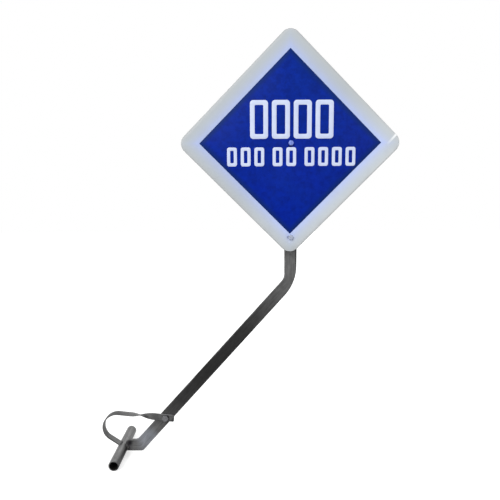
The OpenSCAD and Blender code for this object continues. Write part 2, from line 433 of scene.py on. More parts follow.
def loosePoints(side, radius):
    # Points of a grid along the square's sides, finer near the right tip, clear of the rim and the holes
    setup = signSetup
    kept = []
    for step, fine in ((setup["coarseStep"], False), (setup["fineStep"], True)):
        run = np.arange(-side / 2 + step / 2, side / 2, step)
        u, w = [grid.ravel() for grid in np.meshgrid(run, run)]
        corner = np.maximum(np.abs(np.stack([u, w], 1)) - (side / 2 - radius), 0)
        inside = np.linalg.norm(corner, axis=1) < radius - step / 2
        place = signCentre + np.stack([u - w, u + w], 1) / math.sqrt(2)
        near = place[:, 0] > signCentre[0] + signTip - setup["fineReach"]
        keep = inside & (near == fine)
        for middle in signBolts:
            keep &= np.linalg.norm(place - middle, axis=1) > setup["holeDiameter"]
        kept.append(place[keep])
    return np.vstack(kept)


def leanTip(surface):
    # The tip beyond the crease leans back: Y grows by slope * (d + sqrt(d * d + soft * soft)) / 2, where d
    # is the distance beyond the crease, and it fades out along the crease towards the blue
    points, faces = surface
    setup = signSetup
    crease = np.subtract(setup["creaseEnd"], setup["creaseStart"])
    length = np.linalg.norm(crease)
    run = crease / length
    offset = points[:, [0, 2]] - setup["creaseStart"]
    beyond = offset @ np.array([run[1], -run[0]])
    weight = eased(np.clip((offset @ run) / length + setup["creaseFade"], 0, 1))
    bent = points.copy()
    bent[:, 1] += setup["creaseSlope"] * weight * (beyond + np.hypot(beyond, setup["creaseSoft"])) / 2
    return bent, faces


def bentSheet(inset, low, high, edge, steps):
    # A sheet whose outline lies so far inside the plate's, with its right tip bent back
    side = plateSide - 2 * inset
    radius = signSetup["cornerRadius"] - inset
    outline = standingSquare(side, radius, signSetup["fineStep"])
    return leanTip(edgedPlate([outline, *signHoles], low.y, high.y, edge, loosePoints(side, radius), steps))


def squarePlace(place):
    # The place measured from the sign's middle, in axes along the square's sides
    return centred(place, signCentre, 45)


def squareDistance(square):
    # Distance from the sign's middle, measured square to its sides
    out = vectorCalc("ABSOLUTE", square)
    return calc("MAXIMUM", part(out, "X"), part(out, "Z"))


def rimDistance(square):
    # Distance out from the middles of the corner arcs, and from the lines between them: the corner radius
    # is at the plate's outline, all the way round
    flat = plateSide / 2 - signSetup["cornerRadius"]
    out = vectorCalc("SUBTRACT", vectorCalc("ABSOLUTE", square), (flat, 0, flat))
    return fromAxis(vectorCalc("MAXIMUM", out, (0, 0, 0)))


def honeycomb(place, pitch):
    # The sum of three cosine waves 60 degrees apart: 3 in a six-sided cell's middle, -1 to -1.5 on its walls
    height = 0.0
    for angle in np.radians([0, 60, 120]):
        x, z = 4 * math.pi / math.sqrt(3) / pitch * direction(angle)
        height = calc("ADD", calc("COSINE", vectorCalc("DOT_PRODUCT", place, (x, 0, z), "Value")), height)
    return height


plateSetup = {
    "edge": 0.0005,
    "tones": [(0.3, (0.27, 0.275, 0.28)), (0.5, (0.35, 0.355, 0.36)), (0.7, (0.43, 0.435, 0.44))],
    "dirtAndShadow": (0.20, 0.20, 0.19),
    "cutEdge": (0.13, 0.13, 0.135),
    "cutEdgeReach": (0.0006, 0.0001),  # in from the outline
}


def aluminiumMaterial():
    # Rolled sheet: long fine lines, a few blotches and a dull edge
    material, place = startMaterial("rolledAluminium", 0.6, 0.3)
    square = squarePlace(place)
    lines = noise(stretched(square, (9, 9, 900)), 1.0, 4)
    blotches = noise(square, 14, 5)
    dirtAndShadow = noise(square, 70, 4, 0.7)
    tone = average(lines, blotches, 0.4)
    colour = ramp(tone, plateSetup["tones"])
    colour = blend(spread(dirtAndShadow, 0.56, 0.74, 0, 0.5), colour, plateSetup["dirtAndShadow"])
    start, end = [signSetup["cornerRadius"] - reach for reach in plateSetup["cutEdgeReach"]]
    colour = blend(spread(rimDistance(square), start, end, 0, 0.9), colour, plateSetup["cutEdge"])
    return finishMaterial(material, colour, spread(tone, 0.3, 0.7, 0.58, 0.44), lines, 0.00004)


sheetSetup = {
    "edge": 0.00008,
    "tones": [(0.0, (0.46, 0.55, 0.86)), (0.14, (0.48, 0.56, 0.83)), (0.35, (0.50, 0.56, 0.71)),
              (0.6, (0.51, 0.56, 0.62)), (0.9, (0.525, 0.555, 0.57)),
              (1.0, (0.44, 0.47, 0.48))],  # from the film to the rim
    "sideGain": (0.83, 1.04),  # painted light: brightness at the middle and at the lower right side, the palest
    "tipGain": 0.88,           # brightness of the lower tip
    "tipHeight": 0.06,
    "stain": (0.38, 0.41, 0.45),
    "cellPitch": 0.0036,
    "cellWall": (0.34, 0.38, 0.43),
    # Painted highlight along the crease at the bent tip
    "creaseHighlight": (0.90, 0.92, 0.93),
    "creaseHighlightReach": (0.0012, 0.0036),  # from the crease
    "boltShadow": {"aside": (-0.0056, 0), "reach": (0.0016, 0.0046), "amount": 0.8,
                 "colour": (0.15, 0.18, 0.30)},  # painted shadow beside the lower bolt
}


def sheetingMaterial():
    # Reflective sheeting: six-sided cells, a blue cast next to the film, greyer at the rim, painted light
    # paler towards the lower right side, a painted highlight along the crease at the tip and a painted shadow
    # beside the lower bolt
    setup = sheetSetup
    material, place = startMaterial("reflectiveSheeting", 0.0, 0.25)
    square = squarePlace(place)
    half = plateSide / 2
    colour = ramp(spread(squareDistance(square), filmHalf, half, 0, 1), setup["tones"])
    # Painted light: paler towards the lower right side
    colour = dimmed(colour, spread(part(square, "X"), 0, half, *setup["sideGain"]))
    tipTop = plateLow.z + setup["tipHeight"]
    colour = dimmed(colour, spread(part(place, "Z"), plateLow.z, tipTop, setup["tipGain"], 1))
    stains = noise(place, 22, 5, 0.6)
    colour = blend(spread(stains, 0.52, 0.75, 0, 0.22), colour, setup["stain"])
    walls = spread(honeycomb(place, setup["cellPitch"]), -1.0, -0.3, 1, 0)
    colour = blend(calc("MULTIPLY", walls, 0.10), colour, setup["cellWall"])
    # Painted highlight: a pale streak along the crease at the bent tip
    run = np.subtract(signSetup["creaseEnd"], signSetup["creaseStart"])
    crease = centred(place, signSetup["creaseStart"], -math.degrees(math.atan2(run[1], run[0])))
    beside = spread(calc("ABSOLUTE", part(crease, "Z")), *setup["creaseHighlightReach"], 1, 0)
    creaseHighlight = calc("MULTIPLY", beside, spread(part(crease, "X"), -0.004, math.hypot(*run), 0, 1))
    colour = blend(creaseHighlight, colour, setup["creaseHighlight"])
    # Painted shadow beside the lower bolt
    dirtAndShadow = setup["boltShadow"]
    colour = roundSpot(colour, place, signBolts[1] + dirtAndShadow["aside"], dirtAndShadow, dirtAndShadow["colour"])
    peel = noise(place, 900, 2)
    height = calc("SUBTRACT", calc("MULTIPLY", peel, 0.5), walls)
    return finishMaterial(material, colour, spread(stains, 0.3, 0.7, 0.42, 0.58), height, 0.00002, 0.5)


filmSetup = {
    "edge": 0.00008,
    "tones": [(0.15, (0.0008, 0.0165, 0.224)), (0.5, (0.0012, 0.0155, 0.240)),
              (0.85, (0.0006, 0.0145, 0.270))],  # from the top corner down
    "mottle": (0.82, 1.18),
    "cloud": (0.002, 0.026, 0.19),
    "rim": (0.004, 0.020, 0.105),
    "rimReach": (-0.010, 0.002),  # from the film's edge
    "boltShadow": {"aside": (-0.002, -0.0065), "reach": (0.0025, 0.0055), "amount": 0.8,
                 "colour": (0, 0.002, 0.05)},  # painted shadow under the centre bolt
}


def filmMaterial():
    # Blue overlay film: deeper towards the bottom, mottled, duller along its edge, with fine orange peel
    setup = filmSetup
    material, place = startMaterial("blueFilm", 0.0, 0.06)
    down = spread(part(place, "Z"), signCentre[1] - signTip, signCentre[1] + signTip, 1, 0)
    mottle = noise(place, 85, 5, 0.65)
    colour = dimmed(ramp(down, setup["tones"]), spread(mottle, 0.36, 0.64, *setup["mottle"]))
    cloud = noise(place, 16, 4)
    colour = blend(spread(cloud, 0.4, 0.75, 0, 0.25), colour, setup["cloud"])
    out = plus(squareDistance(squarePlace(place)), mottle, 0.008)
    start, end = [filmHalf + reach for reach in setup["rimReach"]]
    colour = blend(spread(out, start, end, 0, 0.88), colour, setup["rim"])
    # Painted shadow under the centre bolt
    dirtAndShadow = setup["boltShadow"]
    colour = roundSpot(colour, place, signBolts[0] + dirtAndShadow["aside"], dirtAndShadow, dirtAndShadow["colour"])
    peel = noise(place, 700, 2)
    return finishMaterial(material, colour, spread(cloud, 0.3, 0.7, 0.40, 0.52), peel, 0.00002, 0.4)


def makeSign():
    plate = bentSheet(0.0, plateLow, plateHigh, plateSetup["edge"], 4)
    makePiece("aluminiumPlate", plate, aluminiumMaterial(), ["sign_plate"])
    sheet = bentSheet(signSetup["sheetMargin"], sheetLow, sheetHigh, sheetSetup["edge"], 2)
    makePiece("whiteSheeting", sheet, sheetingMaterial(), ["white_sheet"])
    outline = standingSquare(2 * filmHalf, 0, signSetup["coarseStep"])
    film = leanTip(edgedPlate([outline, signHoles[0]], fieldLow.y, fieldHigh.y, filmSetup["edge"], None, 2))
    makePiece("blueFilm", film, filmMaterial(), ["blue_field"])


makeSign()
print("sign plate, sheeting and film made")

# Print: plain frames of white ink, in two rows

printSetup = {
    "thickness": 0.00006,
    "gap": 0.009,
    "wordGap": 0.020,
    "rows": [
        {"left": 0.333, "right": 0.530, "bottom": 0.776, "top": 0.865, "words": (4,), "stroke": 0.011},
        {"left": 0.278, "right": 0.583, "bottom": 0.712, "top": 0.7562, "words": (3, 2, 4), "stroke": 0.0075},
    ],
    "outerRound": 0.7,   # corner radii as shares of the stroke
    "innerRound": 0.25,
    "tones": [(0.3, (0.52, 0.58, 0.78)), (0.5, (0.55, 0.61, 0.79)), (0.7, (0.58, 0.64, 0.80))],
}


def inkMaterial():
    # Screen-printed white: a touch of the blue shows through, more where the ink is thin
    material, place = startMaterial("whiteInk", 0.0, 0.2)
    thin = noise(place, 60, 4)
    grain = noise(place, 800, 2)
    colour = ramp(thin, printSetup["tones"])
    return finishMaterial(material, colour, spread(thin, 0.3, 0.7, 0.45, 0.6), grain, 0.00002, 0.5)


def makePrint():
    setup = printSetup
    front = fieldLow.y - setup["thickness"]
    parts = []
    for row in setup["rows"]:
        stroke = row["stroke"]
        count = sum(row["words"])
        breaks = len(row["words"]) - 1
        spaces = setup["gap"] * (count - 1 - breaks) + setup["wordGap"] * breaks
        width = (row["right"] - row["left"] - spaces) / count
        left = row["left"]
        for blocks in row["words"]:
            for block in range(blocks):
                low = np.array([left, row["bottom"]])
                high = np.array([left + width, row["top"]])
                outer = softBox(low, high, setup["outerRound"] * stroke, 8)
                inner = softBox(low + stroke, high - stroke, setup["innerRound"] * stroke, 6)
                edge = setup["thickness"] / 3
                parts.append(edgedPlate([outer, inner[::-1]], front, fieldLow.y, edge, None, 2))
                left += width + setup["gap"]
            left += setup["wordGap"] - setup["gap"]
    makePiece("printedFrames", joined(parts), inkMaterial())


makePrint()
print("print made")

# Post: a flat bar bent twice on its width

postSetup = {
    "width": 0.030,
    "lowerBend": (0.045, 0.006),
    "upperBend": (0.430, 0.4345),
    "upperRadii": (0.110, 0.028),  # outside and inside of the bend
    "lowerRadii": (0.010, 0.012),
    "footReach": 2 / 3,            # the foot's end from the tube's middle, as a share of the tube's radius
    "footClip": 0.006,
    "edgeRadius": 0.0009,
    "strapHole": 0.0103,
    "outlineStep": 0.02,
    "looseStep": 0.005,
    "bendBlend": 0.030,
    "tones": [(0.0, 0.08), (0.285, 0.05), (0.326, 0.11), (0.40, 0.088), (0.49, 0.042), (0.54, 0.022),
              (0.69, 0.0145), (0.80, 0.026), (0.87, 0.065), (0.90, 0.097), (0.92, (0.180, 0.190, 0.210)),
              (0.95, (0.214, 0.222, 0.245)), (0.973, 0.116), (1.0, 0.09)],  # along it, from the top, with painted shadow under the plate's tip at 0.285
    "wear": (0.20, 0.20, 0.205),
    "wearWidth": 0.0022,
    "heatTint": (0.055, 0.052, 0.060),
    "heatReach": (0.018, 0.031),   # from the tube's middle
    "darkSpots": [
        {"place": (0.0185, 0.0130), "reach": (0.0050, 0.0120), "amount": 0.95},  # soot over the weld, with painted shadow where bar and tube meet
        {"place": (0.4297, 0.4990), "reach": (0.0010, 0.0060), "amount": 0.55},  # painted shadow under the plate's tip
    ],
    "darkEdge": {"left": (0.4408, 0.4424), "low": (0.466, 0.476), "amount": 0.62},  # beside the plate's tip
    # Soot and painted shadow, for the dark spots and the dark strip
    "sootAndShade": (0.010, 0.009, 0.011),
}
postLow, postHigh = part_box("post")
tubeLow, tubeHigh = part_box("cross_tube")
tubeRadius = tubeHigh.x
strapBoltAt = boltPlace("strap")
lowerBend, upperBend = np.array(postSetup["lowerBend"]), np.array(postSetup["upperBend"])
slant = math.atan2(*(upperBend - lowerBend)[::-1])
footX = tubeRadius * postSetup["footReach"]


def postCorners(setup):
    # The bar's outline before its corners are rounded, anticlockwise from the foot's lower edge. A bend's
    # corner lies half the width / cos(half the turn) from the middle line's corner, on the bisector.
    half = setup["width"] / 2
    clip = setup["footClip"]

    def bendCorner(place, before, after, side):
        away = side * half / math.cos((after - before) / 2)
        return place + away * direction((before + after) / 2 + math.pi / 2)

    lowEdge = lowerBend[1] - half
    highEdge = lowerBend[1] + half
    cope = np.linspace(math.acos(footX / tubeRadius), math.asin(lowEdge / tubeRadius), 14)
    upperRadii, lowerRadii = setup["upperRadii"], setup["lowerRadii"]
    bends = [(bendCorner(lowerBend, 0, slant, -1), lowerRadii[0]),
             (bendCorner(upperBend, slant, math.pi / 2, -1), upperRadii[0]),
             ((upperBend[0] + half, postHigh.z), 0.0),
             ((upperBend[0] - half, postHigh.z), 0.0),
             (bendCorner(upperBend, slant, math.pi / 2, 1), upperRadii[1]),
             (bendCorner(lowerBend, 0, slant, 1), lowerRadii[1]),
             ((tubeRadius + clip, highEdge), 0.0),
             ((footX, highEdge - clip), 0.0)]
    corners = np.vstack([[place for place, radius in bends], tubeRadius * direction(cope)])
    return corners, np.concatenate([[radius for place, radius in bends], np.zeros(len(cope))])


def alongPost(flat, setup):
    # Distance along the bar's middle line from its top, and across it. Each straight length gives its own
    # two values, and near a bend they are mixed by the eased share of the way through the bend.
    line = np.array([(upperBend[0], postHigh.z), upperBend, lowerBend, (footX, lowerBend[1])])
    runs = unit(np.diff(line, axis=0))
    lengths = np.linalg.norm(np.diff(line, axis=0), axis=1)
    along, across = 0.0, 0.0
    for number, (start, run) in enumerate(zip(line[:-1], runs)):
        offset = flat - start
        way = lengths[:number].sum() + offset @ run
        aside = offset @ np.array([-run[1], run[0]])
        through = offset @ unit(run + runs[number - 1]) if number else np.full(len(flat), 1.0)
        weight = eased(np.clip(through / setup["bendBlend"] + 0.5, 0, 1))
        along = along + weight * (way - along)
        across = across + weight * (aside - across)
    return along, across, lengths.sum()


def postLoosePoints(setup, outline, holes):
    # Points of an even grid inside the bar, clear of its edges and its holes
    step = setup["looseStep"]
    x, z = np.meshgrid(np.arange(postLow.x, postHigh.x, step), np.arange(postLow.z, postHigh.z, step))
    place = np.stack([x.ravel(), z.ravel()], 1)
    along, across, length = alongPost(place, setup)
    keep = (np.abs(across) < setup["width"] / 2 - step / 2) & (along > step) & (along < length - 2 * step)
    for circle in holes:
        keep &= np.linalg.norm(place - circle.mean(0), axis=1) > setup["strapHole"]
    place = place[keep]
    place = place[within(place, outline)]
    nearest = np.min(np.linalg.norm(place[:, None] - outline[None], axis=2), axis=1)
    return place[nearest > step / 2]


def postMaterial(setup, length):
    # Mill-scale bar: grey near both ends and dark along the middle, fine streaks along it, worn pale edges, a
    # heat tint round the foot, soot with painted shadow where it meets the tube, and painted shadow under the
    # plate's tip
    material, place = startMaterial("millScaleBar", 0.3, 0.14)
    along = attribute(material, "along")
    across = attribute(material, "across")
    flow = addNode("CombineXYZ", {0: along, 1: across, 2: part(place, "Y")}).outputs[0]
    streaks = noise(stretched(flow, (14, 420, 420)), 1.0, 4, 0.6)
    mottle = noise(stretched(flow, (60, 110, 110)), 1.0, 5, 0.6)
    pits = noise(place, 900, 3, 0.6)
    tone = average(streaks, mottle, 0.45)
    # The tone along the bar, with painted shadow under the plate's tip
    colour = ramp(spread(along, 0, length, 0, 1), setup["tones"])
    colour = dimmed(colour, spread(tone, 0.35, 0.65, 0.72, 1.30))
    half = setup["width"] / 2
    rim = spread(calc("ABSOLUTE", across), half - setup["wearWidth"], half, 0, 1)
    colour = blend(calc("MULTIPLY", rim, spread(mottle, 0.45, 0.62, 0, 0.6)), colour, setup["wear"])
    tint = spread(plus(fromAxis(place), mottle, 0.006), *setup["heatReach"], 0.75, 0)
    colour = blend(tint, colour, setup["heatTint"])
    ragged = calc("MULTIPLY", mottle, 0.004)
    # Soot with painted shadow at the foot, painted shadow under the plate's tip
    for spot in setup["darkSpots"]:
        colour = roundSpot(colour, place, spot["place"], spot, setup["sootAndShade"], ragged)
    edge = setup["darkEdge"]
    beside = spread(part(place, "X"), *edge["left"], 0, edge["amount"])
    strip = calc("MULTIPLY", beside, spread(part(place, "Z"), *edge["low"], 0, 1))
    colour = blend(strip, colour, setup["sootAndShade"])
    height = average(streaks, pits, 0.4)
    return finishMaterial(material, colour, spread(tone, 0.35, 0.65, 0.62, 0.46), height, 0.00012, 0.7)


def makePost(setup):
    corners, radii = postCorners(setup)
    outline = spaced(rounded(corners, radii, 20), setup["outlineStep"])
    holes = [hole(strapBoltAt, setup["strapHole"]), *signHoles]
    loose = postLoosePoints(setup, outline, holes)
    surface = edgedPlate([outline, *holes], postLow.y, postHigh.y, setup["edgeRadius"], loose)
    along, across, length = alongPost(surface[0][:, [0, 2]], setup)
    makePiece("bentPost", surface, postMaterial(setup, length), ["post"],
              values={"along": along, "across": across})


makePost(postSetup)
print("post made")

# Cross tube

tubeSetup = {
    "bore": 0.0206,
    "rimRadius": 0.0005,
    "ringStep": 0.01,
    "columns": 96,
    "tones": [(0.3, 0.098), (0.48, 0.165), (0.7, 0.248)],
    "litSide": 152.7,  # degrees from +X, the way its brighter side faces
    # Painted shading: brightness from the lit side to the dark one, in front of the bar and behind it
    "nearGain": [(0.1, 1.0), (0.3, 0.82), (0.45, 0.56), (0.6, 0.42), (0.8, 0.40), (0.95, 0.30)],
    "farGain": [(0.1, 0.95), (0.25, 0.80), (0.42, 0.57), (0.7, 0.70), (0.9, 0.85)],
    "rust": (0.07, 0.05, 0.04),
    "farReach": (-0.005, 0.025),  # along Y, from the one brightness to the other
    # Soot from the weld with painted shadow on the tube's dark flank
    "sootAndShadeMiddle": -0.030,         # along Y
    "sootAndShadeReach": (0.026, 0.068),
    "sootAndShade": (0.009, 0.008, 0.010),
    # Painted shade inside the bore
    "inside": (0.012, 0.011, 0.010),
}


def tubeMaterial(setup):
    # Drawn tube: lines along its length, dull grey with painted shading that makes one side brighter, a few
    # rust-brown specks, soot from the weld with painted shadow along the other side, in front of the bar, and
    # painted shade in the bore
    material, place = startMaterial("drawnTube", 0.4, 0.2)
    lines = noise(stretched(place, (420, 12, 420)), 1.0, 4, 0.6)
    smear = noise(stretched(place, (60, 30, 60)), 1.0, 5, 0.6)
    tone = average(lines, smear, 0.5)
    # Painted shading: brighter on the lit side, darker on the other
    litPlace = centred(place, (0, 0), -setup["litSide"])
    aside = spread(part(litPlace, "X"), tubeRadius, -tubeRadius, 0, 1)
    far = spread(part(litPlace, "Y"), *setup["farReach"], 0, 1)
    gain = blend(far, ramp(aside, setup["nearGain"]), ramp(aside, setup["farGain"]))
    colour = dimmed(ramp(tone, setup["tones"]), gain)
    specks = noise(place, 260, 4, 0.7)
    colour = blend(spread(specks, 0.64, 0.74, 0, 0.5), colour, setup["rust"])
    ragged = noise(stretched(place, (110, 60, 110)), 1.0, 5, 0.65)
    # Soot from the weld with painted shadow: near black along the dark flank, in front of the bar
    flank = spread(plus(aside, ragged, 0.30), 0.87, 1.05, 0, 1)
    away = calc("ABSOLUTE", calc("SUBTRACT", part(litPlace, "Y"), setup["sootAndShadeMiddle"]))
    sootAndShade = calc("MULTIPLY", flank, spread(plus(away, ragged, 0.034), *setup["sootAndShadeReach"], 0.98, 0.0))
    colour = blend(sootAndShade, colour, setup["sootAndShade"])
    bore = setup["bore"] / 2
    # Painted shade inside the bore
    colour = blend(spread(fromAxis(place), bore, bore + 0.0006, 1, 0), colour, setup["inside"])
    return finishMaterial(material, colour, spread(tone, 0.3, 0.7, 0.58, 0.42), lines, 0.00008, 0.7)


def makeTube(setup):
    outline = softBox((tubeLow.y, setup["bore"] / 2), (tubeHigh.y, tubeRadius), setup["rimRadius"], 4)
    tube = turned(spaced(outline, setup["ringStep"]), (0, 0), setup["columns"])
    makePiece("drawnTube", tube, tubeMaterial(setup), ["cross_tube"])


makeTube(tubeSetup)
print("cross tube made")

# Strap: a flat strip on edge, with a loop, a quarter twist and a tail on the tube

strapSetup = {
    "width": 0.018,
    "thickness": 0.003,
    "edgeRadius": 0.0007,
    "tailAngle": 145,      # degrees from +X
    "tailReach": 0.042,
    "tailLift": 0.007,     # how far from the tube's middle the tail's line passes
    "tailInTube": 0.0003,  # how far the tail reaches into the tube's wall
    "loopRadius": 0.0355,
    "twistLength": 0.062,
    "twistGap": 0.001,     # between the post's edge and the start of the twist
    "beyondBolt": 0.022,
    "endCorner": 0.003,
    "sectionStep": 0.003,
    "tones": [(0.3, 0.064), (0.48, 0.110), (0.7, 0.174)],
    "brightness": [(0.0, 0.72), (0.1, 0.50), (0.25, 0.96), (0.38, 0.68), (0.48, 0.58), (0.60, 0.92),
                   (0.76, 1.0), (0.82, 0.62), (0.88, 0.80), (1.0, 0.66)],  # painted light and shade of the loop and the twist, along it, from the tail
    "marks": (0.045, 0.043, 0.041),
    "darkSpots": [         # painted shade, places along and across the strip, measured from its bolt
        {"place": (0.0022, 0.0), "reach": (0.0078, 0.0098), "amount": 0.85},
        {"place": (0.0220, -0.0070), "reach": (0.0040, 0.0105), "amount": 0.8},
        {"place": (-0.0500, -0.0030), "reach": (0.0020, 0.0080), "amount": 0.75},
    ],
    # Painted shade, for the dark spots
    "strapShade": (0.016, 0.015, 0.016),
    "paleEdge": {"across": (0.0068, 0.0078), "reach": (0.012, 0.022), "amount": 0.6,
                 "colour": (0.36, 0.36, 0.38)},  # near the bolt
}


def strapCourse(setup):
    # The strip's middle line as arrays of place, heading, roll and width: a straight tail, an arc about the
    # loop's middle, a straight run, a twist whose roll is 90 degrees * the eased share, and a flat end whose
    # corners are round
    tail = math.radians(setup["tailAngle"])
    radius = setup["loopRadius"]
    endCorner = setup["endCorner"]
    tailFoot = setup["tailLift"] * direction(tail - math.pi / 2)
    tailEnd = tailFoot + setup["tailReach"] * direction(tail)
    loopMiddle = tailEnd - radius * direction(tail + math.pi / 2)
    toBolt = strapBoltAt - loopMiddle
    runLength = math.sqrt(toBolt @ toBolt - radius * radius)
    run = math.atan2(toBolt[1], toBolt[0]) - math.atan2(radius, runLength)
    crossing = slant - run
    flat = postSetup["width"] / 2 / math.sin(crossing) + setup["width"] / 2 / math.tan(crossing)
    flat += setup["twistGap"]

    tailSide = setup["tailLift"] + setup["thickness"] / 2
    tailStart = math.sqrt(tubeRadius ** 2 - tailSide ** 2) - setup["tailInTube"]
    tailWay = np.linspace(tailStart, setup["tailReach"], 8)[:-1]
    turn = np.linspace(tail, run, 64)
    runStart = loopMiddle + radius * direction(run + math.pi / 2)
    twistStart = strapBoltAt - (flat + setup["twistLength"]) * direction(run)
    runWay = np.linspace(0, 1, 8)[1:-1, None]
    share = np.linspace(0, 1, 40)
    corner = np.linspace(0, np.pi / 2, 7)
    lastWay = np.concatenate([-flat - setup["twistLength"] * (1 - share),
                              np.linspace(-flat, setup["beyondBolt"] - endCorner, 12)[1:-1],
                              setup["beyondBolt"] - endCorner * (1 - np.sin(corner))])

    place = np.vstack([tailFoot + tailWay[:, None] * direction(tail),
                       loopMiddle + radius * direction(turn + math.pi / 2),
                       runStart + runWay * (twistStart - runStart),
                       strapBoltAt + lastWay[:, None] * direction(run)])
    heading = np.concatenate([np.full(len(tailWay), tail), turn, np.full(len(runWay) + len(lastWay), run)])
    flatCount = len(lastWay) - len(share)
    roll = np.concatenate([np.zeros(len(place) - len(lastWay)), eased(share), np.ones(flatCount)]) * np.pi / 2
    narrowing = np.concatenate([np.zeros(len(place) - len(corner)), endCorner * (1 - np.cos(corner))])
    return place, heading, roll, setup["width"] - 2 * narrowing


def strapMaterial(setup, length, run):
    # Bare strip: streaks along it, mottled dull grey with painted light and shade along the loop, darker
    # handling marks, and painted shade round the bolt's head, at the end and in the twist
    material, place = startMaterial("bareStrip", 0.4, 0.2)
    along = attribute(material, "along")
    across = attribute(material, "across")
    flow = addNode("CombineXYZ", {0: along, 1: across, 2: 0.0}).outputs[0]
    streaks = noise(stretched(flow, (18, 500, 1)), 1.0, 4, 0.6)
    mottle = noise(place, 90, 5, 0.65)
    tone = average(streaks, mottle, 0.5)
    # Painted light and shade along the loop and the twist
    colour = dimmed(ramp(tone, setup["tones"]), ramp(spread(along, 0, length, 0, 1), setup["brightness"]))
    marks = noise(place, 35, 4, 0.7)
    colour = blend(spread(marks, 0.58, 0.74, 0, 0.5), colour, setup["marks"])
    edge = setup["paleEdge"]
    fromBolt = calc("ABSOLUTE", calc("SUBTRACT", along, length - setup["beyondBolt"]))
    pale = calc("MULTIPLY", spread(across, *edge["across"], 0, edge["amount"]),
                spread(fromBolt, *edge["reach"], 1, 0))
    colour = blend(pale, colour, edge["colour"])
    ragged = calc("MULTIPLY", mottle, 0.002)
    # Painted shade round the bolt's head, at the end's corner and in the twist
    for spot in setup["darkSpots"]:
        centre = strapBoltAt + spot["place"] @ direction(run + np.array([0, math.pi / 2]))
        colour = roundSpot(colour, place, centre, spot, setup["strapShade"], ragged)
    return finishMaterial(material, colour, spread(tone, 0.3, 0.7, 0.56, 0.42), streaks, 0.00008, 0.7)


def makeStrap(setup):
    # The section is carried along the course. At roll r its point (wide, thin) lies to the course's left by
    # wide * sin r + thin * cos r, and forwards by wide * cos r - thin * sin r.
    place, heading, roll, width = strapCourse(setup)
    thick = setup["thickness"]
    wideHalf = setup["width"] / 2
    section = softBox((-wideHalf, -thick / 2), (wideHalf, thick / 2), setup["edgeRadius"], 3)
    section = spaced(section, setup["sectionStep"])
    wide = section[None, :, 0] * (width / setup["width"])[:, None]
    thin = np.broadcast_to(section[None, :, 1], wide.shape)
    normal = direction(heading + np.pi / 2)
    rollSin, rollCos = np.sin(roll)[:, None], np.cos(roll)[:, None]
    outwards = wide * rollSin + thin * rollCos
    forwards = wide * rollCos - thin * rollSin
    rings = np.stack([place[:, :1] + outwards * normal[:, :1], postLow.y - thick / 2 - forwards,
                      place[:, 1:] + outwards * normal[:, 1:]], -1)
    walked = np.concatenate([[0], np.cumsum(np.linalg.norm(np.diff(place, axis=0), axis=1))])
    along = np.concatenate([np.repeat(walked, len(section)), [0, walked[-1]]])
    across = np.concatenate([(wide + thin).ravel(), [0, 0]])
    material = strapMaterial(setup, walked[-1], heading[-1])
    makePiece("loopStrap", cappedRings(rings), material, ["strap"],
              values={"along": along, "across": across})


makeStrap(strapSetup)
print("strap made")

# Welds

weldSetup = {
    "leg": 0.005,
    "crownPower": 1.61,
    "sunk": 0.12,     # how far the foot beads' roots reach into tube and bar, as a share of the leg
    "ripple": 0.09,   # depth of the ripples, as a share of the bead's size
    "footRipples": 11,
    "strapRipples": 9,
    "strapBead": 0.0024,
    "strapEndGap": 0.001,
    "tones": [(0.3, (0.018, 0.019, 0.023)), (0.5, (0.034, 0.033, 0.035)), (0.7, (0.065, 0.060, 0.054))],
}


def weldMaterial():
    # Bead metal: dark scale with straw and blue heat colours between the ripples
    material, place = startMaterial("weldBead", 0.4, 0.35)
    patches = noise(place, 190, 4, 0.6)
    grain = noise(place, 1400, 3, 0.6)
    colour = ramp(patches, weldSetup["tones"])
    return finishMaterial(material, colour, spread(patches, 0.3, 0.7, 0.6, 0.4), grain, 0.0001, 0.6)


def beadSize(share, ripples, power, least):
    # A bead's size at each share t of its length: (1 - ripple * (1 - |sin(pi * ripples * t)|)) dips between
    # the ripples, and sqrt(1 - |2 t - 1| ** power) shrinks it to nearly nothing at both ends
    swell = 1 - weldSetup["ripple"] * (1 - np.abs(np.sin(np.pi * ripples * share)))
    return swell * np.maximum(1 - np.abs(2 * share - 1) ** power, least) ** 0.5


def footBead(side):
    # A convex fillet between tube and bar: the section runs over leg * (cos t, sin t) ** (2 / power) and is
    # carried round the tube
    setup = weldSetup
    low = math.asin((lowerBend[1] - postSetup["width"] / 2) / (tubeRadius + setup["leg"]))
    high = math.acos(postSetup["footReach"])
    share = np.linspace(0, 1, 90)[:, None]
    leg = setup["leg"] * beadSize(share, setup["footRipples"], 9, 0.02)
    shape = direction(np.linspace(0, np.pi / 2, 12)) ** (2 / setup["crownPower"])
    root = -setup["sunk"]
    shape = np.vstack([shape, [(root, 1.0), (root, root), (1.0, root)]])
    level = side * (postHigh.y + leg * shape[:, 1])
    rings = ringsAround((0, 0), level, tubeRadius + leg * shape[:, 0], low + (high - low) * share)
    return cappedRings(rings if side > 0 else rings[:, ::-1])


def strapBead(side):
    # A rippled round bead along Y at the tail's corner with the tube
    setup = weldSetup
    tail = math.radians(strapSetup["tailAngle"])
    half = strapSetup["width"] / 2 - setup["strapEndGap"]
    share = np.linspace(0, 1, 70)[:, None]
    thick = setup["strapBead"] * beadSize(share, setup["strapRipples"], 8, 0.01)
    offset = side * strapSetup["thickness"] / 2 - strapSetup["tailLift"]
    centre = math.sqrt(tubeRadius ** 2 - offset ** 2) * direction(tail) + offset * direction(tail + np.pi / 2)
    level = postLow.y - strapSetup["thickness"] / 2 + half * (2 * share - 1)
    return cappedRings(ringsAround(centre, level, thick, np.linspace(0, 2 * np.pi, 20, endpoint=False)))


